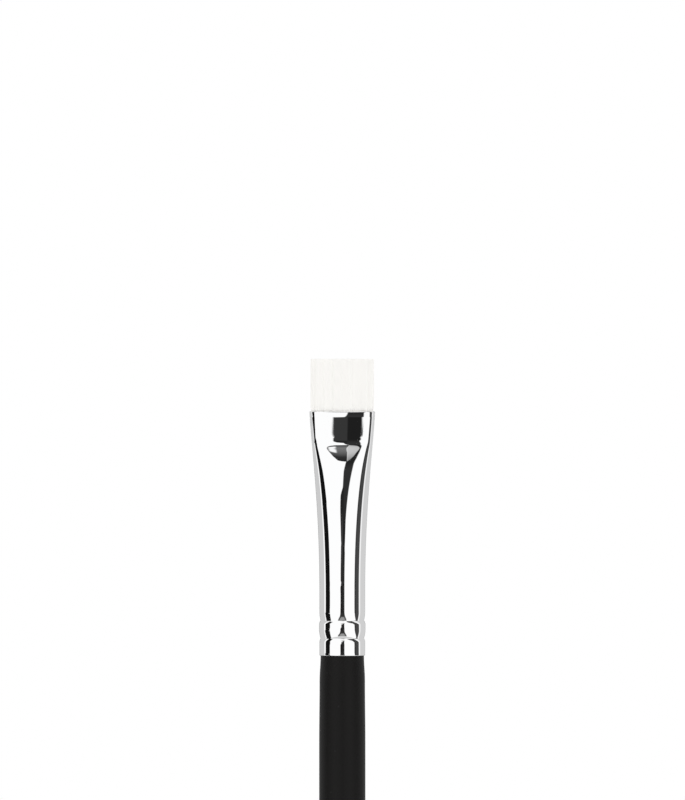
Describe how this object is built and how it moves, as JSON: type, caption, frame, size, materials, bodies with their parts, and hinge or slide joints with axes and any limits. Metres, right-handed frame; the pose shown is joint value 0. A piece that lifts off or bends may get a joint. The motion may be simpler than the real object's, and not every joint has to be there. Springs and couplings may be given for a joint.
{
  "type": "eyeshadow brush",
  "caption": "Flat eyeshadow brush: a square-cut white synthetic tuft in a pressed, crimped metal ferrule on a turned black handle.",
  "frame": {"origin": "centre of the handle's domed butt, at the bottom of the bounding box", "axes": "+Z along the brush from the butt to the tip of the tuft, X across the width of the flat tuft, Y through its thickness"},
  "size_m": [0.0092, 0.0064, 0.17],
  "materials": {
    "lacquered_wood": "satin black lacquer",
    "plated_tube": "bright plated, mirror polished",
    "filament": "white synthetic filament with a soft sheen",
    "bonded_filament": "filament butts soaked with resin",
    "thread": "twisted polyester",
    "resin": "clear amber casting resin",
    "glue": "cured glue"
  },
  "bodies": {
    "root": {"handle": "lacquered_wood", "ferrule": "plated_tube", "tuft": "filament", "root_block": "bonded_filament", "binding_thread": "thread", "resin_plug": "resin", "glue_collar": "glue"}
  },
  "joints": []
}
